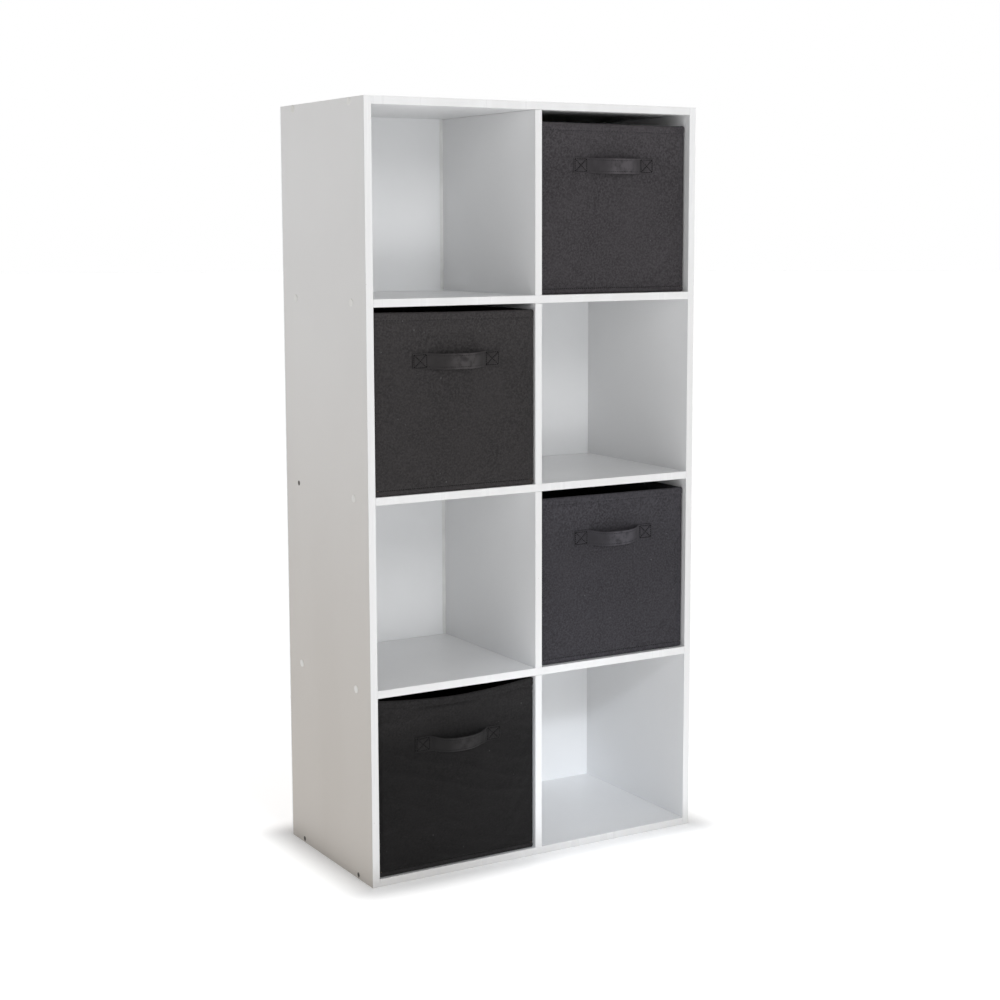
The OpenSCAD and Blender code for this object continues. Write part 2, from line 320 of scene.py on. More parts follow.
def webbing_material(name, tone, middle):
    """The strap's folded fabric, with a close rib along it, and a painted highlight in its middle."""
    r = Recipe(name)
    rib = r.wave(330, "Z", 0.6)
    fibres = r.noise(1300, 4, (1, 1, 1), 0.7)
    highlight_and_wear = r.span(r.noise(60, 4), 0.35, 0.75)
    colour = r.mix(fibres, [c * 0.7 for c in tone], [c * 1.25 for c in tone])
    colour = r.mix(r.math("MULTIPLY", highlight_and_wear, 0.5), colour, [c * 1.6 for c in tone])
    # painted highlight: the loop is lighter about its middle
    aside = r.size_of(r.math("SUBTRACT", r.part(r.place, "X"), middle))
    rubbed = r.math("MULTIPLY", r.span(aside, 36 * MM, 12 * MM), r.span(r.noise(110, 4), 0.25, 0.6))
    colour = r.mix(rubbed, colour, [c * 2.0 for c in tone])
    relief = r.bump(rib, 0.00012, r.bump(fibres, 0.00008))
    return r.finish(Base_Color=colour, Roughness=r.span(highlight_and_wear, 0, 1, 0.72, 0.9), Normal=relief,
                    Specular_IOR_Level=0.12, Sheen_Weight=0.03, Sheen_Roughness=0.5)


def thread_material():
    r = Recipe("sewing_thread")
    twist = r.wave(900, "DIAGONAL", 1.5)
    colour = r.mix(twist, (0.002, 0.002, 0.0022), (0.006, 0.006, 0.0065))
    return r.finish(Base_Color=colour, Roughness=r.span(twist, 0, 1, 0.7, 0.9), Normal=r.bump(twist, 0.0001),
                    Specular_IOR_Level=0.08)


# ---- Mesh helpers ----


def link_mesh(name, verts, faces, material):
    mesh = bpy.data.meshes.new(name)
    mesh.from_pydata([tuple(v) for v in np.asarray(verts).reshape(-1, 3)], [], faces)
    mesh.polygons.foreach_set("use_smooth", [True] * len(mesh.polygons))
    mesh.materials.append(material)
    mesh.update()
    piece = bpy.data.objects.new(name, mesh)
    scene.collection.objects.link(piece)
    return piece


def grid_faces(rows, cols, closed=True):
    """Quads of a grid of points, row after row. A closed grid joins its last column to its first."""
    last = cols if closed else cols - 1
    return [
        (r * cols + c, r * cols + (c + 1) % cols, (r + 1) * cols + (c + 1) % cols, (r + 1) * cols + c)
        for r in range(rows - 1)
        for c in range(last)
    ]


def thicken(piece, thickness):
    """Gives a sheet its thickness, on the side away from its normals."""
    made = piece.modifiers.new("thickness", "SOLIDIFY")
    made.thickness = thickness
    made.offset = -1


def smoothstep(value, low, high):
    t = np.clip((np.asarray(value, float) - low) / (high - low), 0, 1)
    return t * t * (3 - 2 * t)


def relief_at(points, size, seed):
    """Smooth noise at points, about -1 to 1, in lumps of that size."""
    shift = Vector((seed * 17.3, seed * 5.1, seed * 9.7))
    found = [noise.noise(Vector(p) / size + shift) for p in points.reshape(-1, 3)]
    return np.array(found).reshape(points.shape[:-1])


# A stitch's swelling along its length, as (share of its length, share of its thickness)
DASH_STATIONS = ((0.0, 0.35), (0.18, 0.9), (0.5, 1.0), (0.82, 0.9), (1.0, 0.35))
DASH_SIDES = 6

# Stitches: length, gap, width and height
SEAM_STITCH = (3.4 * MM, 0.4 * MM, 1.35 * MM, 0.5 * MM)
HEM_STITCH = (3.4 * MM, 1.4 * MM, 0.5 * MM, 0.5 * MM)
INSERT_STITCH = (3.2 * MM, 1.6 * MM, 0.6 * MM, 0.45 * MM)
SQUARE_STITCH = (2.6 * MM, 0.4 * MM, 1.25 * MM, 0.5 * MM)
LOOP_STITCH = (2.4 * MM, 0.9 * MM, 0.55 * MM, 0.4 * MM)


def dashes(runs, length, gap, width, height):
    """Short rounded stitches along runs. A run is a list of (point, outward normal)."""
    verts, faces = [], []
    ring = [(math.cos(a), math.sin(a)) for a in (2 * math.pi * k / DASH_SIDES for k in range(DASH_SIDES))]
    for run in runs:
        points = np.array([p for p, _ in run], float)
        normals = np.array([n for _, n in run], float)
        along = np.concatenate([[0], np.cumsum(np.linalg.norm(np.diff(points, axis=0), axis=1))])
        count = max(1, int((along[-1] + gap) // (length + gap)))
        step = along[-1] / count
        for k in range(count):
            first = k * step + (step - length) / 2
            stations = [first + length * t for t, _ in DASH_STATIONS]
            centre = np.stack([np.interp(stations, along, points[:, i]) for i in range(3)], 1)
            out = np.stack([np.interp(stations, along, normals[:, i]) for i in range(3)], 1)
            out /= np.linalg.norm(out, axis=1)[:, None]
            ahead = centre[-1] - centre[0]
            ahead /= np.linalg.norm(ahead)
            side = np.cross(ahead, out)
            base = len(verts)
            for i, (t, size) in enumerate(DASH_STATIONS):
                sunk = height * 0.9 * (2 * t - 1) ** 2
                for across, up in ring:
                    verts.append(centre[i] + side[i] * across * width / 2 * size
                                 + out[i] * (up * height / 2 * size - sunk + height * 0.2))
            for i in range(len(DASH_STATIONS) - 1):
                for j in range(DASH_SIDES):
                    a, b = base + i * DASH_SIDES, base + (i + 1) * DASH_SIDES
                    faces.append((a + j, a + (j + 1) % DASH_SIDES, b + (j + 1) % DASH_SIDES, b + j))
            faces.append(tuple(base + j for j in reversed(range(DASH_SIDES))))
            end = base + (len(DASH_STATIONS) - 1) * DASH_SIDES
            faces.append(tuple(end + j for j in range(DASH_SIDES)))
    return verts, faces


# ---- Fabric boxes ----

FABRIC = 0.8 * MM          # thickness of the fabric
CORNER_R = 1.6 * MM        # rounding of a box's upright edges
CORNER_STEPS = 4
SEAM_Z = 8.4 * MM          # height of the seam above a box's bottom
HEM_DROP = 11.5 * MM       # the hem's stitch line, below the rim
HEM_PROUD = 0.55 * MM      # how far the doubled hem stands out
LINING_INSET = 3.6 * MM
CELL = 4 * MM              # size of the cover's mesh cells
SIDE_CAP = 1.3 * MM        # how far a side wall may swell
INWARD_CAP = 0.2 * MM      # how far any wall may go inward, before it touches its board
CREASE_PITCH = 8.5 * MM
FOLD_SLANT = ((0.3, 0, 0.28), (0, 1, 0), (0, 0, 1))   # draws the folds out across the front, at a slant
SIM_FRAMES = 24

# How each box hangs, with lengths in mm. The rim: rise of its corners over its middle, dip of the
# middle, and tilt up to the right. The walls: swell of the front, how uneven they slump, the height
# of the folds and of the creases under the hem. The cloth: its tone, how much lighter its painted
# highlight makes it by the rim and below the seam, and how much lighter the strap is.
BOX_SHAPE = {
    1: dict(rise=0.4, dip=0, tilt=-0.6, swell=1.8, slump=1.2, folds=0.3, crease=0.25,
            tone=(0.041, 0.0378, 0.041), rubbed=1.2, strap=0.95),
    2: dict(rise=0.8, dip=0, tilt=-1.6, swell=2.2, slump=1.2, folds=0.4, crease=0.35,
            tone=(0.030, 0.0278, 0.0284), rubbed=1.2, strap=0.95),
    3: dict(rise=0.2, dip=0, tilt=-1.2, swell=2.0, slump=1.2, folds=0.4, crease=0.35,
            tone=(0.0375, 0.0358, 0.041), rubbed=1.2, strap=0.95),
    4: dict(rise=10, dip=1.5, tilt=2, swell=3.2, slump=3.5, folds=2.6, crease=1.5,
            tone=(0.0102, 0.0097, 0.0099), rubbed=1.9, strap=1.35),
}


class Box:
    """Where a fabric box is, from its CAD nodes, and the outline of its walls."""

    def __init__(self, number):
        self.number = number
        self.body = f"box_{number}"
        self.shape = BOX_SHAPE[number]
        low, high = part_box(f"{self.body}_outer_cover")
        self.rim_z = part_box(f"{self.body}_rim_hem")[1].z - low.z
        self.width, self.depth = high.x - low.x, high.y - low.y
        self.origin = np.array([(low.x + high.x) / 2, low.y, low.z])
        self.path = self.outline(CELL)
        self.on_front = self.path[:, 3] < -0.99

    def name(self, piece):
        return f"{self.body}_{piece}"

    def place(self, points):
        return np.asarray(points, float) + self.origin

    def outline(self, cell):
        """Points round the box from its front left corner: (x, y, outward x, outward y)."""
        fine = [0, 1.1 * MM, 2.2 * MM, 3.6 * MM, 6 * MM]
        rows = []
        corners = [(-1, -1), (1, -1), (1, 1), (-1, 1)]
        half_w, half_d = self.width / 2 - CORNER_R, self.depth / 2 - CORNER_R
        for k, (sx, sy) in enumerate(corners):
            nx, ny = corners[(k + 1) % 4]
            start = np.array([sx * half_w, sy * half_d])
            end = np.array([nx * half_w, ny * half_d])
            length = np.linalg.norm(end - start)
            ahead = (end - start) / length
            out = np.array([ahead[1], -ahead[0]])
            before = math.atan2(out[1], out[0]) - math.pi / 2
            for j in range(CORNER_STEPS):
                a = before + math.pi / 2 * j / CORNER_STEPS
                n = np.array([math.cos(a), math.sin(a)])
                rows.append((*(start + n * CORNER_R), *n))
            count = round((length - 2 * fine[-1]) / cell)
            middle = np.linspace(fine[-1], length - fine[-1], count + 1)
            stops = [*fine[:-1], *middle, *(length - f for f in reversed(fine[1:-1]))]
            rows += [(*(start + ahead * s + out * CORNER_R), *out) for s in stops]
        path = np.array(rows)
        path[:, 1] += self.depth / 2
        return path

    def rim_at(self, x):
        """Height of the rim above the box's bottom, for x from its middle."""
        across = np.clip(np.asarray(x) / (self.width / 2), -1, 1)
        bent = np.abs(across) ** 1.7 * self.shape["rise"] - self.shape["dip"]
        return self.rim_z + (bent + across * self.shape["tilt"] / 2) * MM

    def from_corner(self):
        """Distance of each point of the outline from the nearest upright corner."""
        edge_x = self.width / 2 - np.abs(self.path[:, 0])
        edge_y = np.minimum(self.path[:, 1], self.depth - self.path[:, 1])
        return np.maximum(edge_x, edge_y)

    def tube(self, path, profile):
        """Points of a tube round the box. A row of its profile is (inset, height, None) or
        (inset, None, drop below the rim)."""
        points = np.zeros((len(profile), len(path), 3))
        top = self.rim_at(path[:, 0])
        for r, (inset, height, drop) in enumerate(profile):
            z = top - drop if drop is not None else np.full(len(path), height)
            if drop is None and height > SEAM_Z:
                share = (height - SEAM_Z) / (self.rim_z - SEAM_Z)
                z = SEAM_Z + share * (top - SEAM_Z)
            points[r, :, 0] = path[:, 0] - path[:, 2] * inset
            points[r, :, 1] = path[:, 1] - path[:, 3] * inset
            points[r, :, 2] = z
        return points


def cover_profile(box):
    """Bottom edge, sewn band, wall, doubled hem, rounded rim, and the hem's turn-down inside."""
    rows = [(1.0, 0.35), (0.35, 0.8), (0.0, 1.8), (-0.35, 3.2), (-0.4, 5.2), (-0.25, 6.8), (0.3, 7.6),
            (0.7, 8.4), (0.35, 9.2), (0.0, 10.2), (0.0, 12.2)]
    profile = [(inset * MM, z * MM, None) for inset, z in rows]
    first, last = profile[-1][1], box.rim_z - HEM_DROP - 2.6 * MM
    count = round((last - first) / CELL)
    profile += [(0.0, z, None) for z in np.linspace(first, last, count + 1)[1:]]
    proud = HEM_PROUD / MM
    hem = [(0.0, 12.9), (0.2, 12.2), (0.45, 11.5), (0.0, 10.9), (-proud, 9.8), (-proud, 7.4), (-proud, 5.0),
           (-proud, 3.2), (-proud + 0.15, 1.7), (0.35, 0.75), (1.1, 0.2), (2.0, 0.0), (3.0, 0.15),
           (3.8, 0.7), (4.25, 1.7), (4.45, 3.2), (4.45, 6.5), (4.45, 10.0), (4.45, 14.0), (4.45, 18.0),
           (4.3, 19.2), (4.1, 20.0)]
    profile += [(inset * MM, None, drop * MM) for inset, drop in hem]
    return profile


def held_weights(box):
    """1 where the cover is sewn down: below the seam, from the hem up, and along the upright corners."""
    held = np.ones(box.points.shape[:2])
    for r, (_, height, drop) in enumerate(box.profile):
        if drop is None and height > SEAM_Z + 1.5 * MM:
            held[r] = box.from_corner() < CORNER_R + 2.6 * MM
    return held


def add_cloth(piece, held, pressure, slack):
    group = piece.vertex_groups.new(name="held")
    group.add([int(i) for i in np.flatnonzero(held.ravel() > 0.5)], 1.0, "REPLACE")
    cloth = piece.modifiers.new("cloth", "CLOTH")
    settings = cloth.settings
    settings.quality = 5
    settings.mass = 0.25
    settings.tension_stiffness = 18
    settings.compression_stiffness = 12
    settings.shear_stiffness = 6
    settings.bending_stiffness = 0.6
    settings.air_damping = 2
    settings.vertex_group_mass = "held"
    settings.use_pressure = True
    settings.uniform_pressure_force = pressure
    settings.shrink_min = -slack
    settings.effector_weights.gravity = 0.25
    cloth.collision_settings.use_collision = False
    cloth.point_cache.frame_start = 1
    cloth.point_cache.frame_end = SIM_FRAMES


def shapes_now(pieces):
    depsgraph = bpy.context.evaluated_depsgraph_get()
    found = []
    for piece in pieces:
        mesh = piece.evaluated_get(depsgraph).to_mesh()
        co = np.zeros(len(mesh.vertices) * 3)
        mesh.vertices.foreach_get("co", co)
        found.append(co.reshape(-1, 3))
        piece.evaluated_get(depsgraph).to_mesh_clear()
    return found


def outward_of(path, rows):
    normal = np.zeros((rows, len(path), 3))
    normal[:, :, 0], normal[:, :, 1] = path[:, 2], path[:, 3]
    return normal


def drape_covers(boxes):
    """Simulates the four covers together, and keeps how far each point swells outward."""
    sheets = []
    for box in boxes:
        box.profile = cover_profile(box)
        box.points = box.tube(box.path, box.profile)
        box.held = held_weights(box)
        box.swell = np.zeros(box.points.shape[:2])
        lumps = (1 - box.held) * relief_at(box.points, 35 * MM, box.number) * 0.5 * MM
        start = box.points + outward_of(box.path, len(lumps)) * lumps[:, :, None]
        faces = grid_faces(*lumps.shape)
        sheet = link_mesh(box.name("sheet"), start, faces, box.fabric)
        add_cloth(sheet, box.held, 0.35 * box.shape["swell"], 0.004)
        sheets.append(sheet)
    if sheets:
        for number in range(1, SIM_FRAMES + 1):
            scene.frame_set(number)
        for box, sheet, now in zip(boxes, sheets, shapes_now(sheets)):
            moved = now.reshape(box.points.shape) - box.points
            box.swell = (moved * outward_of(box.path, len(moved))).sum(2)
            print("cloth", box.body, "moved out by", box.swell.min(), "to", box.swell.max())
            bpy.data.objects.remove(sheet)
        scene.frame_set(1)


def quick_swell(box, cap):
    x, y, z = np.moveaxis(box.points, 2, 0)
    facing_y = np.abs(box.path[:, 3]) > 0.7
    across = np.where(facing_y, x / (box.width / 2), (y - box.depth / 2) / (box.depth / 2))
    tall = np.clip(np.sin(np.pi * np.clip(z / box.rim_z, 0, 1)), 0, 1)
    return np.clip(1 - across ** 2, 0, 1) ** 0.7 * tall * cap * 0.6


def creases(box):
    """Wavering creases round the walls, just below the hem."""
    below = box.rim_at(box.points[:, :, 0]) - box.points[:, :, 2]
    wander = relief_at(box.points * (1, 1, 0.3), 70 * MM, box.number + 30) * 3 * MM
    lines = np.sin((below + wander) * 2 * math.pi / CREASE_PITCH)
    near_rim = smoothstep(below, 0, 4 * MM) * (1 - smoothstep(below, 16 * MM, 44 * MM))
    strong = 0.5 + 0.5 * relief_at(box.points * (1, 1, 0.5), 45 * MM, box.number + 40)
    return 0.8 * box.shape["crease"] * MM * lines * near_rim * strong


def corner_groove(box):
    """A narrow groove beside each upright corner, where a board ends."""
    away = (box.from_corner() - CORNER_R - 2.2 * MM) / MM
    return np.exp(-(away ** 2)) * 0.4 * MM


def folds(box):
    """Slanting ridges where the front hangs slack."""
    ridge = 1 - 2.2 * np.abs(relief_at(box.points @ np.array(FOLD_SLANT), 34 * MM, box.number + 45))
    return np.clip(ridge, 0, 1) ** 2 * box.shape["folds"] * MM


def shape_cover(box):
    """The draped cover, with its swelling capped, then its slump, creases, grooves and folds."""
    free = 1 - box.held
    cap = np.where(box.on_front, box.shape["swell"] * MM, SIDE_CAP)
    swell = box.swell if np.abs(box.swell).max() > 0 else quick_swell(box, cap)
    out = cap * np.tanh(np.maximum(swell, 0) / cap)
    out += INWARD_CAP * np.tanh(np.minimum(swell, 0) / INWARD_CAP)
    small = relief_at(box.points * (1, 1, 1.4), 16 * MM, box.number + 10)
    broad = relief_at(box.points, 60 * MM, box.number + 20)
    slump = np.where(box.on_front, box.shape["slump"], 1) * MM
    out += free * slump * (0.12 * small + 0.35 * (broad + 0.4))
    outside = np.array([inset < 2.5 * MM for inset, _, _ in box.profile])[:, None]
    out += outside * (creases(box) - corner_groove(box) + folds(box) * free * box.on_front)
    box.lift = np.where(outside, np.maximum(out, -INWARD_CAP), out)
    return box.points + outward_of(box.path, len(out)) * box.lift[:, :, None]


def front_lift(box, x, z):
    """How far the finished front stands out at a place on it."""
    columns = np.flatnonzero(box.on_front)
    rows = [r for r, (inset, _, drop) in enumerate(box.profile) if inset < 0.9 * MM and drop is None]
    heights = box.points[rows][:, columns[len(columns) // 2], 2]
    grid = box.lift[np.ix_(rows, columns)]
    xs = box.path[columns, 0]
    c = np.clip(np.interp(x, xs, np.arange(len(xs))), 0, len(xs) - 1.001)
    r = np.clip(np.interp(z, heights, np.arange(len(rows))), 0, len(rows) - 1.001)
    c0, r0 = c.astype(int), r.astype(int)
    u, v = c - c0, r - r0
    low = grid[r0, c0] * (1 - u) + grid[r0, c0 + 1] * u
    high = grid[r0 + 1, c0] * (1 - u) + grid[r0 + 1, c0 + 1] * u
    return low * (1 - v) + high * v


def make_cover(box):
    box.cover_points = shape_cover(box)
    faces = grid_faces(*box.cover_points.shape[:2])
    cover = link_mesh(box.name("fabric_cover"), box.place(box.cover_points), faces, box.fabric)
    thicken(cover, FABRIC)
    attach(cover, box.body)
    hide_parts(box.name("outer_cover"), box.name("rim_hem"))


def make_seam_stitches(box):
    """Stitches along the bottom seam and along the hem."""
    verts, faces = [], []
    normal = outward_of(box.path, 1)[0]
    for row, (_, height, drop) in enumerate(box.profile):
        is_seam = drop is None and math.isclose(height, SEAM_Z)
        is_hem = drop is not None and math.isclose(drop, HEM_DROP)
        if is_seam or is_hem:
            ring = box.place(box.cover_points[row])
            run = list(zip([*ring, ring[0]], [*normal, normal[0]]))
            more, patches = dashes([run], *(SEAM_STITCH if is_seam else HEM_STITCH))
            faces += [tuple(len(verts) + i for i in face) for face in patches]
            verts += more
    piece = link_mesh(box.name("seam_stitches"), verts, faces, MATERIALS["thread"])
    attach(piece, box.body)


def make_lining(box):
    """The lining, with its inside a little uneven except near its top and its foot."""
    path = box.outline(8 * MM)
    heights = np.linspace(2.4 * MM, box.rim_z - 4.5 * MM, 34)
    points = box.tube(path, [(LINING_INSET, z, None) for z in heights])
    rows = len(heights)
    lumps = relief_at(points, 40 * MM, box.number + 50)
    fine = relief_at(points * (1, 1, 2), 14 * MM, box.number + 60)
    above_foot = smoothstep(heights, 2.4 * MM, 14 * MM)
    below_top = 1 - smoothstep(heights, box.rim_z - 30 * MM, box.rim_z - 12 * MM)
    inward = np.clip(0.35 + 0.55 * lumps + 0.15 * fine, 0, 0.9) * 0.75 * MM
    inward *= (above_foot * below_top)[:, None]
    points -= outward_of(path, rows) * inward[:, :, None]
    faces = [tuple(reversed(f)) for f in grid_faces(rows, len(path))]
    lining = link_mesh(box.name("fabric_lining"), box.place(points), faces, MATERIALS["box_lining"])
    thicken(lining, FABRIC * 0.9)
    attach(lining, box.body)
    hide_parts(box.name("lining"))


SLAB_CELLS = 34


def slab(name, low, high, bevel, material, lump, seed):
    """A thin flat piece with rounded edges and a slightly uneven top."""
    low, high = np.array(low), np.array(high)
    size = high - low
    edge = [0, 0.3 * bevel, bevel, 2.2 * bevel, 5 * bevel]

    def stops(length):
        middle = np.linspace(edge[-1], length - edge[-1], SLAB_CELLS)[1:-1]
        return np.array([*edge, *middle, *(length - e for e in edge[::-1])])

    gx, gy = np.meshgrid(stops(size[0]), stops(size[1]))
    near = np.minimum(np.minimum(gx, size[0] - gx), np.minimum(gy, size[1] - gy))
    round_off = bevel - np.sqrt(np.maximum(bevel ** 2 - np.maximum(bevel - near, 0) ** 2, 0))
    flat = np.stack([gx, gy, np.zeros_like(gx)], 2)
    bumps = relief_at(flat, 45 * MM, seed) - 0.6
    top = flat + low
    top[:, :, 2] = high[2] - round_off + bumps * lump * smoothstep(near, 0, 6 * MM)
    under = flat + low
    under[:, :, 2] = low[2] + np.minimum(round_off, bevel * 0.98)
    rows, cols = gx.shape
    count = rows * cols
    faces = grid_faces(rows, cols, closed=False)
    faces += [tuple(count + i for i in reversed(f)) for f in grid_faces(rows, cols, closed=False)]
    rim = [*range(cols), *(r * cols + cols - 1 for r in range(1, rows)),
           *(count - 1 - c for c in range(1, cols)), *(r * cols for r in range(rows - 2, 0, -1))]
    faces += [(rim[i], count + rim[i], count + rim[(i + 1) % len(rim)], rim[(i + 1) % len(rim)])
              for i in range(len(rim))]
    return link_mesh(name, np.concatenate([top.reshape(-1, 3), under.reshape(-1, 3)]), faces, material)


def make_bottom(box):
    low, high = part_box(box.name("bottom_panel"))
    cloth = MATERIALS["box_base_fabric"]
    piece = slab(box.name("bottom_cloth"), low, high, 0.9 * MM, cloth, 0.12 * MM, box.number)
    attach(piece, box.body)
    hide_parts(box.name("bottom_panel"))


def make_insert(box):
    """The loose board in the bottom of the box, wrapped in fabric and stitched round its edge."""
    low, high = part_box(box.name("base_board"))
    insert = box.name("base_insert")
    wrap = MATERIALS["insert_board"]
    piece = slab(box.name("insert_pad"), low, high, 1.4 * MM, wrap, 0.25 * MM, box.number + 70)
    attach(piece, insert)
    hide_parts(box.name("base_board"))
    inset = 7 * MM
    corners = [(low.x + inset, low.y + inset), (high.x - inset, low.y + inset),
               (high.x - inset, high.y - inset), (low.x + inset, high.y - inset)]
    up = (0, 0, 1)
    z = high.z - 0.1 * MM
    runs = [[((*corners[k], z), up), ((*corners[(k + 1) % 4], z), up)] for k in range(4)]
    verts, faces = dashes(runs, *INSERT_STITCH)
    stitches = link_mesh(box.name("insert_stitches"), verts, faces, MATERIALS["thread"])
    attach(stitches, insert)


# ---- Handles ----

STRAP_THICK = 1.6 * MM
LOOP_HALF = 50.5 * MM      # from the loop's middle to where an end is sewn down
LOOP_BOW = 18 * MM         # how far the loop stands out
LOOP_POWER = 2.6           # how square the loop is
BEND_ROUND = 2.4 * MM      # how widely its bends are rounded
LOOP_SAG = 1.2 * MM        # how far it sags between its ends
STRAP_PUFF = 0.25 * MM     # the folded edges are a little thicker
QUILT = 1.0 * MM           # how deep the stitches pull the sewn ends in
QUILT_SPREAD = 0.85 * MM   # and how widely
SQUARE_START = 1.5 * MM    # the stitched square, from where the end is sewn down
SQUARE_EDGE = 2.2 * MM     # and from the strap's edges and its end
LOOP_STITCH_EDGE = 3.4 * MM   # the loop's stitches, from its edges
STITCH_SUNK = 0.75 * MM    # how far the square's stitches lie below the strap's face
TURN_START = 2.2 * MM      # the strap starts to turn with its loop this far out from the box
TURN_END = 12.5 * MM


class Handle:
    """Sizes of a box's strap, from its CAD nodes and its joint."""

    def __init__(self, box):
        self.box = box
        low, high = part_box(box.name("handle_patches"))
        joint = next(j for j in frame["joints"] if j["name"] == box.name("strap_swing"))
        self.reach = (high.x - low.x) / 2
        self.height = high.z - low.z
        self.middle = (low.z + high.z) / 2 - box.origin[2]
        self.droop = -math.radians(sum(joint["range_deg"]) / 2)
        self.hinge_y = joint["pos_m"][1] - box.origin[1]
        self.hinge_z = joint["pos_m"][2] - box.origin[2]

    def square(self):
        """The stitched square on a sewn end: its near and far side, and half its height."""
        return LOOP_HALF + SQUARE_START, self.reach - SQUARE_EDGE, self.height / 2 - SQUARE_EDGE

    def bow_at(self, x):
        """Distance from the box's face to the inside of the strap, with its bends rounded."""
        total = np.zeros_like(x)
        offsets = np.linspace(-BEND_ROUND, BEND_ROUND, 9)
        for offset in offsets:
            share = np.clip(np.abs(x + offset) / LOOP_HALF, 0, 1)
            total += LOOP_BOW * (1 - share ** LOOP_POWER)
        return total / len(offsets)

    def turned(self, points):
        """Points of the strap after the droop of its loop."""
        out = -points[..., 1]
        angle = self.droop * smoothstep(out, TURN_START, TURN_END)
        y, z = points[..., 1] - self.hinge_y, points[..., 2] - self.hinge_z
        turned = points.copy()
        turned[..., 1] = self.hinge_y + y * np.cos(angle) - z * np.sin(angle)
        turned[..., 2] = self.hinge_z + y * np.sin(angle) + z * np.cos(angle)
        return turned

    def surface(self, x, across, depth):
        """A point on the strap: x along it, across from its middle line, depth out from its inner face."""
        x, across, depth = np.broadcast_arrays(np.asarray(x, float), across, depth)
        eps = 0.2 * MM
        bow = self.bow_at(x)
        slope = (self.bow_at(x + eps) - self.bow_at(x - eps)) / (2 * eps)
        length = np.sqrt(1 + slope ** 2)
        z = self.middle + across - LOOP_SAG * smoothstep(bow, 0, LOOP_BOW)
        lift = front_lift(self.box, x.ravel(), z.ravel()).reshape(x.shape)
        lift = np.maximum(lift, 0) * (1 - smoothstep(bow, 0, 14 * MM))
        px = x + depth * slope / length
        py = -(bow + lift + depth / length)
        return self.turned(np.stack([px, py, z], -1))


def quilt_depth(handle, x, across):
    """How far the stitched square and its cross pull the sewn end in."""
    inner, outer, half_z = handle.square()
    half_x = (outer - inner) / 2
    u, v = np.abs((np.abs(x) - (inner + outer) / 2) / half_x), np.abs(across / half_z)
    around = (u < 1.3) & (v < 1.3)
    within = np.maximum(u, v) <= 1
    edge = np.minimum(np.abs(u - 1) * half_x, np.abs(v - 1) * half_z)
    cross = np.abs(u - v) * half_x * half_z / math.hypot(half_x, half_z)
    near = np.minimum(edge, np.where(within, cross, 1))
    puffed = within * 0.35 * QUILT * smoothstep(near, 0.4 * MM, 2 * MM)
    return around * (np.exp(-((near / QUILT_SPREAD) ** 2)) * QUILT - puffed)


def strap_stops(handle):
    """Places along the strap, closer together on its sewn ends."""
    sewn = np.arange(LOOP_HALF, handle.reach, 0.5 * MM)[1:]
    sewn = np.append(sewn, [handle.reach - 0.3 * MM, handle.reach])
    return np.concatenate([-sewn[::-1], np.linspace(-LOOP_HALF, LOOP_HALF, 84), sewn])


def strap_section(half):
    """Points round the strap: distance from its middle line, and level from inner to outer face."""
    across = np.linspace(-1, 1, 49) * (half - 0.35 * MM)
    outer = [(a, 1.0) for a in across]
    inner = [(a, 0.0) for a in across[::-1]]
    return np.array([*outer, (half, 0.72), (half, 0.28), *inner, (-half, 0.28), (-half, 0.72)])


def make_strap(box):
    """One band: its sewn ends are quilted by their stitches, and its loop stands out between them."""
    h = Handle(box)
    box.handle = h
    half = h.height / 2
    section = strap_section(half)
    x, across = np.meshgrid(strap_stops(h), section[:, 0], indexing="ij")
    level = np.broadcast_to(section[:, 1], x.shape)
    end_round = smoothstep(h.reach - np.abs(x), 0, 0.8 * MM) * 0.5 + 0.5
    depth = (level - 0.5) * STRAP_THICK * end_round + STRAP_THICK / 2
    puff = smoothstep(np.abs(across), half - 3.2 * MM, half - 1.6 * MM) * STRAP_PUFF
    lumps = relief_at(np.stack([x, across, 0 * across], -1), 9 * MM, box.number + 80) * 0.12 * MM
    depth += (level > 0.9) * (puff - quilt_depth(h, x, across) + lumps)
    curl = 0.5 * MM * (across / half) ** 2 * smoothstep(h.bow_at(x), 4 * MM, 14 * MM)
    points = h.surface(x, across, depth - curl)
    rings, cols = x.shape
    faces = grid_faces(rings, cols)
    faces += [tuple(reversed(range(cols))), tuple((rings - 1) * cols + c for c in range(cols))]
    strap = link_mesh(box.name("strap"), box.place(points), faces, box.webbing)
    mend_normals(strap)
    blend_strap(strap, box)
    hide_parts(box.name("handle_strap"), box.name("handle_patches"))


def mend_normals(piece):
    made = bmesh.new()
    made.from_mesh(piece.data)
    bmesh.ops.recalc_face_normals(made, faces=made.faces)
    made.to_mesh(piece.data)
    made.free()


def blend_strap(piece, box):
    """Bakes the piece's place into its mesh, without tying it to the box or to the loop's hinge."""
    box.name("strap_loop")
    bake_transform(piece)


def strap_run(handle, xs, across, depth):
    """A line of stitching on the strap: its points and normals."""
    xs, across = np.asarray(xs, float), np.asarray(across, float) * np.ones(len(xs))
    on = handle.surface(xs, across, depth)
    above = handle.surface(xs, across, depth + 1 * MM)
    return list(zip(handle.box.place(on), (above - on) / MM))


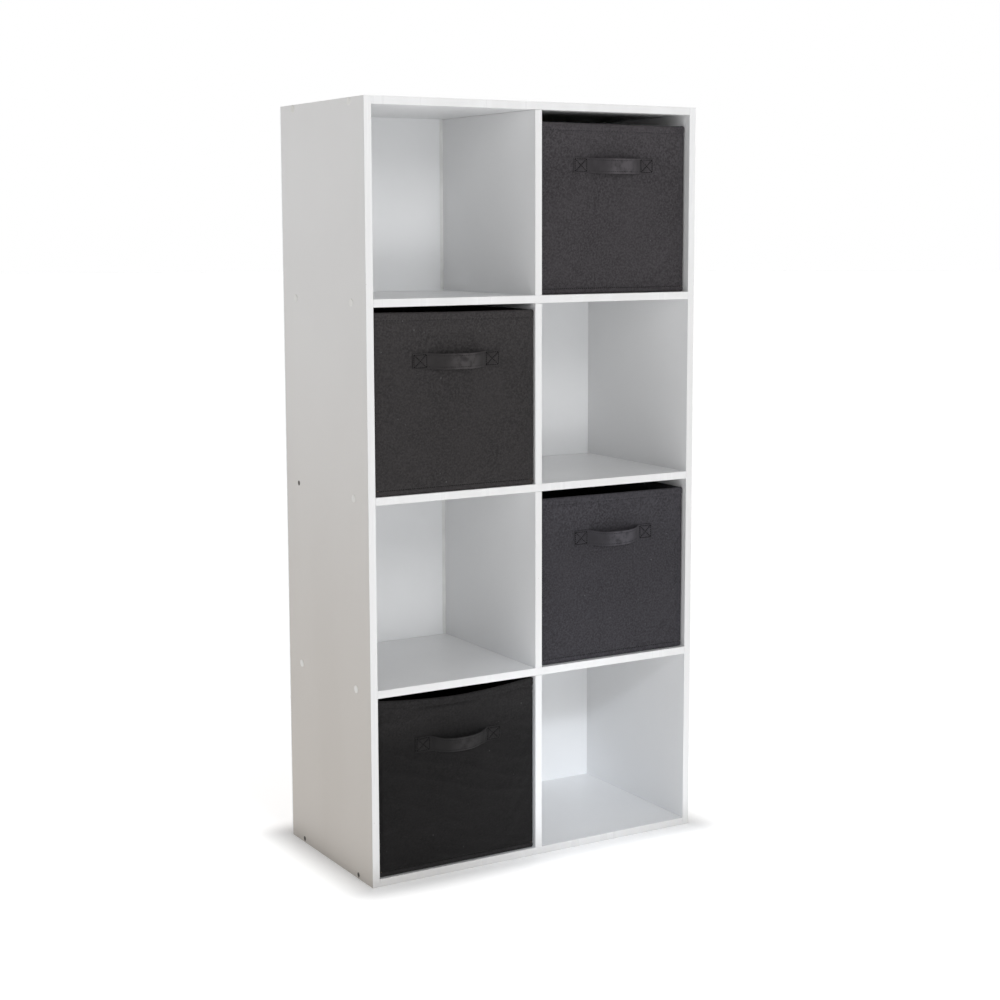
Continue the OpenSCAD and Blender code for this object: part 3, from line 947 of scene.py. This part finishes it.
def make_strap_stitches(box):
    """A square with a cross on each sewn end, and two lines along the loop."""
    h = box.handle
    inner, outer, edge = h.square()
    sewn = []
    for side in (-1, 1):
        near, far = side * inner, side * outer
        square = [((near, far), (-edge, -edge)), ((far, far), (-edge, edge)), ((far, near), (edge, edge)),
                  ((near, near), (edge, -edge)), ((near, far), (-edge, edge)), ((near, far), (edge, -edge))]
        for (x0, x1), (a0, a1) in square:
            xs, across = np.linspace(x0, x1, 20), np.linspace(a0, a1, 20)
            sewn.append(strap_run(h, xs, across, STRAP_THICK - STITCH_SUNK))
    verts, faces = dashes(sewn, *SQUARE_STITCH)
    piece = link_mesh(box.name("box_stitches"), verts, faces, MATERIALS["thread"])
    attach(piece, box.body)
    edge = h.height / 2 - LOOP_STITCH_EDGE
    xs = np.linspace(-LOOP_HALF, LOOP_HALF, 90)
    runs = [strap_run(h, xs, across, STRAP_THICK + 0.02 * MM) for across in (-edge, edge)]
    verts, faces = dashes(runs, *LOOP_STITCH)
    piece = link_mesh(box.name("strap_stitches"), verts, faces, MATERIALS["thread"])
    blend_strap(piece, box)


# ---- Carcass ----

CARCASS_LOOKS = {
    "board": ["side_panel_left", "side_panel_right", "top_panel", "bottom_panel",
              "shelf_upper", "shelf_middle", "shelf_lower",
              "divider_top", "divider_upper", "divider_lower", "divider_bottom"],
    "hardboard": ["back_panel_left", "back_panel_right"],
    "strip": ["back_joining_strip"],
    "band": ["side_edge_bands", "horizontal_edge_bands", "divider_edge_bands"],
    "screw": ["side_screws_left", "side_screws_right"],
    "cap": ["screw_caps_left", "screw_caps_right"],
    "dowel": ["side_dowels_left", "side_dowels_right", "divider_dowels"],
    "nail": ["back_panel_nails"],
    "cardboard": [f"box_{n}_wall_boards" for n in BOX_SHAPE],
}
BEVELS = {"band": 0.25 * MM, "strip": 0.2 * MM}


def dress_carcass():
    for look, names in CARCASS_LOOKS.items():
        for name in names:
            node = frame["nodes"][name]
            node.data.materials.clear()
            node.data.materials.append(MATERIALS[look])
            if look in BEVELS:
                weld = node.modifiers.new("weld", "WELD")
                weld.merge_threshold = 0.01 * MM
                bevel = node.modifiers.new("bevel", "BEVEL")
                bevel.width = BEVELS[look]
                bevel.segments = 2
                bevel.limit_method = "ANGLE"


# ---- Floor and light ----

FLOOR_GLOW = 0.7           # how much the floor glows, clear of the unit
GLOW_FULL = 75 * MM        # how far from the unit it does; nearer in, its glow fades as a painted shadow


def make_floor():
    """A pale disc that glows, so that it is as white as the sky, but less so close to the unit, as a painted
    shadow.
    """
    mesh = bpy.data.meshes.new("floor")
    made = bmesh.new()
    bmesh.ops.create_circle(made, cap_ends=True, segments=64, radius=40)
    made.to_mesh(mesh)
    made.free()
    floor = bpy.data.objects.new("floor", mesh)
    floor.location.z = -0.2 * MM
    scene.collection.objects.link(floor)
    r = Recipe("floor_paint")
    colour = r.mix(r.noise(0.6, 2), (0.86, 0.86, 0.86), (0.84, 0.84, 0.84))
    gaps = [r.math("MAXIMUM", r.math("SUBTRACT", r.size_of(r.part(r.place, axis)), half), 0)
            for axis, half in (("X", UNIT_HALF_W), ("Y", UNIT_HALF_D))]
    away = r.math("SQRT", r.math("ADD", *(r.math("MULTIPLY", gap, gap) for gap in gaps)), 0)
    # painted shadow: the floor glows less close to the unit's footprint
    glow = r.span(away, -10 * MM, GLOW_FULL, 0.15, FLOOR_GLOW)
    mesh.materials.append(r.finish(Base_Color=colour, Roughness=r.span(r.noise(3), 0, 1, 0.7, 0.8),
                                   Specular_IOR_Level=0.2, Emission_Color=(1, 1, 1),
                                   Emission_Strength=glow))


HORIZON = 1.0              # radiance of the studio at the horizon and below it
ZENITH = 1.2               # and overhead

# Softboxes: name, place, diameter, power in watts, colour
SOFTBOXES = [
    ("front_high", (-0.2, -4.2, 2.7), 1.5, 52, (1, 1, 1)),
    ("front_low", (-0.2, -3.2, 0.2), 0.6, 12, (1, 1, 1)),
]

# Spots: name, place, what it points at, radius lit there, power, colour
SPOTS = [
    ("corner_fill", (-0.9, -1.9, 1.25), (0.17, -0.02, 0.03), 0.24, 120, (0.86, 0.92, 1)),
]


def light_world():
    """A soft white studio: bright up to a little above the horizon, and overhead, and dark between."""
    world = bpy.data.worlds.new("studio")
    scene.world = world
    world.use_nodes = True
    tree = world.node_tree
    tree.nodes.clear()

    def span(value, low, high, to_low, to_high):
        made = tree.nodes.new("ShaderNodeMapRange")
        made.interpolation_type = "SMOOTHSTEP"
        tree.links.new(value, made.inputs[0])
        for socket, number in zip(list(made.inputs)[1:5], (low, high, to_low, to_high)):
            socket.default_value = number
        return made.outputs[0]

    split = tree.nodes.new("ShaderNodeSeparateXYZ")
    tree.links.new(tree.nodes.new("ShaderNodeTexCoord").outputs["Generated"], split.inputs[0])
    up = split.outputs["Z"]
    total = tree.nodes.new("ShaderNodeMath")
    tree.links.new(span(up, 0.21, 0.27, HORIZON, 0), total.inputs[0])
    tree.links.new(span(up, 0.75, 0.95, 0, ZENITH), total.inputs[1])
    background = tree.nodes.new("ShaderNodeBackground")
    tree.links.new(total.outputs[0], background.inputs["Strength"])
    background.inputs["Color"].default_value = (1, 1, 1, 1)
    output = tree.nodes.new("ShaderNodeOutputWorld")
    tree.links.new(background.outputs[0], output.inputs["Surface"])


def softbox(name, place, size, energy, colour):
    data = bpy.data.lights.new(name, "AREA")
    data.shape = "DISK"
    data.size = size
    data.energy = energy
    data.color = colour
    lamp = bpy.data.objects.new(name, data)
    scene.collection.objects.link(lamp)
    aim = Vector((0, 0, (cad_box[0].z + cad_box[1].z) / 2))
    lamp.location = place
    lamp.rotation_euler = (aim - Vector(place)).to_track_quat("-Z", "Y").to_euler()


def spot(name, place, aim, radius, power, colour):
    """A soft spot that lights a round patch of that radius where it points."""
    way = Vector(aim) - Vector(place)
    data = bpy.data.lights.new(name, "SPOT")
    data.spot_size = 2 * math.atan(radius / way.length)
    data.spot_blend = 0.9
    data.shadow_soft_size = 0.15
    data.energy = power
    data.color = colour
    lamp = bpy.data.objects.new(name, data)
    scene.collection.objects.link(lamp)
    lamp.location = place
    lamp.rotation_euler = way.to_track_quat("-Z", "Y").to_euler()


def make_lights():
    light_world()
    for lamp in SOFTBOXES:
        softbox(*lamp)
    for lamp in SPOTS:
        spot(*lamp)
    scene.view_settings.view_transform = "Standard"


# ---- Assembly ----

make_camera()
make_floor()
make_lights()

WHITE = (0.80, 0.803, 0.808)
SIDE_SHADE_TONE = (0.56, 0.52, 0.475)
MATERIALS = {
    "board": board_material("melamine_board", WHITE, SIDE_SHADE_TONE),
    "hardboard": hardboard_material(),
    "strip": plastic_material("joining_strip", (0.78, 0.79, 0.78), (0.7, 0.71, 0.7)),
    "band": band_material(),
    "screw": steel_material("screw_steel", (0.06, 0.055, 0.05), (0.13, 0.115, 0.1), (0.35, 0.55)),
    "cap": plastic_material("screw_cap", (0.77, 0.76, 0.74), (0.7, 0.69, 0.66)),
    "dowel": beech_material(),
    "nail": steel_material("nail_steel", (0.55, 0.55, 0.56), (0.4, 0.39, 0.38), (0.25, 0.45)),
    "cardboard": cardboard_material(),
    "box_lining": fabric_material("box_lining", (0.02, 0.02, 0.021), 0.2),
    "box_base_fabric": fabric_material("box_base_fabric", (0.028, 0.027, 0.028), 0.3),
    "insert_board": fabric_material("insert_board", (0.024, 0.023, 0.025), 0.4),
    "thread": thread_material(),
}
dress_carcass()

boxes = [Box(number) for number in BOX_SHAPE]
for box in boxes:
    box.fabric = fabric_material(f"box_fabric_{box.number}", box.shape["tone"],
                                 rim=box.origin[2] + box.rim_z, foot=box.origin[2],
                                 rubbed=box.shape["rubbed"])
    strap_tone = [c * box.shape["strap"] for c in box.shape["tone"]]
    box.webbing = webbing_material(f"handle_webbing_{box.number}", strap_tone, box.origin[0] + 8 * MM)
drape_covers(boxes)
for box in boxes:
    make_cover(box)
    make_seam_stitches(box)
    make_lining(box)
    make_bottom(box)
    make_insert(box)
    make_strap(box)
    make_strap_stitches(box)
